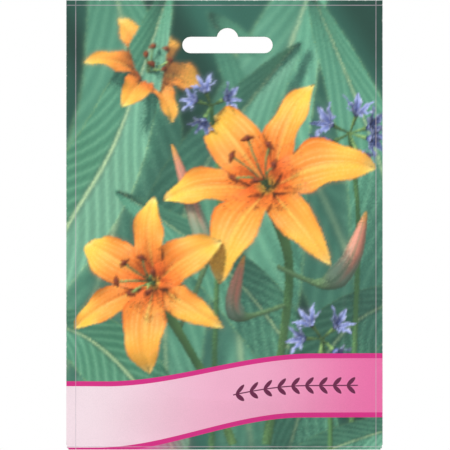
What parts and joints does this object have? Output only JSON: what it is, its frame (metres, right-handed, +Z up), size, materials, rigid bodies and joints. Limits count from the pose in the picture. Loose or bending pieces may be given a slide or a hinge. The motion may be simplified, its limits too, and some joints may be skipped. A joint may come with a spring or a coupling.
{
  "type": "seed packet",
  "caption": "Flat printed paper packet of flower seeds, closed all round, with a slot in its header to hang from a display peg.",
  "frame": {"origin": "top of the hanging slot's bay, where the display peg bears, in the middle of the header's thickness", "axes": "+Z up towards the header's top edge, the printed front faces -Y, +X to the right seen from the front"},
  "size_m": [0.114, 0.0089, 0.162],
  "materials": {
    "coated_paper": "printed, semi-gloss coated",
    "dry_glue": "dry dispersion glue",
    "foil_film": "metallised film",
    "seed_coat": "dull, hard seed coat"
  },
  "bodies": {
    "root": {"packet_sheet": "coated_paper", "back_seam_glue": "dry_glue", "bottom_flap_glue": "dry_glue", "header_glue": "dry_glue", "sachet_front_film": "foil_film", "sachet_back_film": "foil_film", "seed_1": "seed_coat", "seed_2": "seed_coat", "seed_3": "seed_coat", "seed_4": "seed_coat", "seed_5": "seed_coat", "seed_6": "seed_coat", "seed_7": "seed_coat", "seed_8": "seed_coat", "seed_9": "seed_coat"}
  },
  "joints": []
}
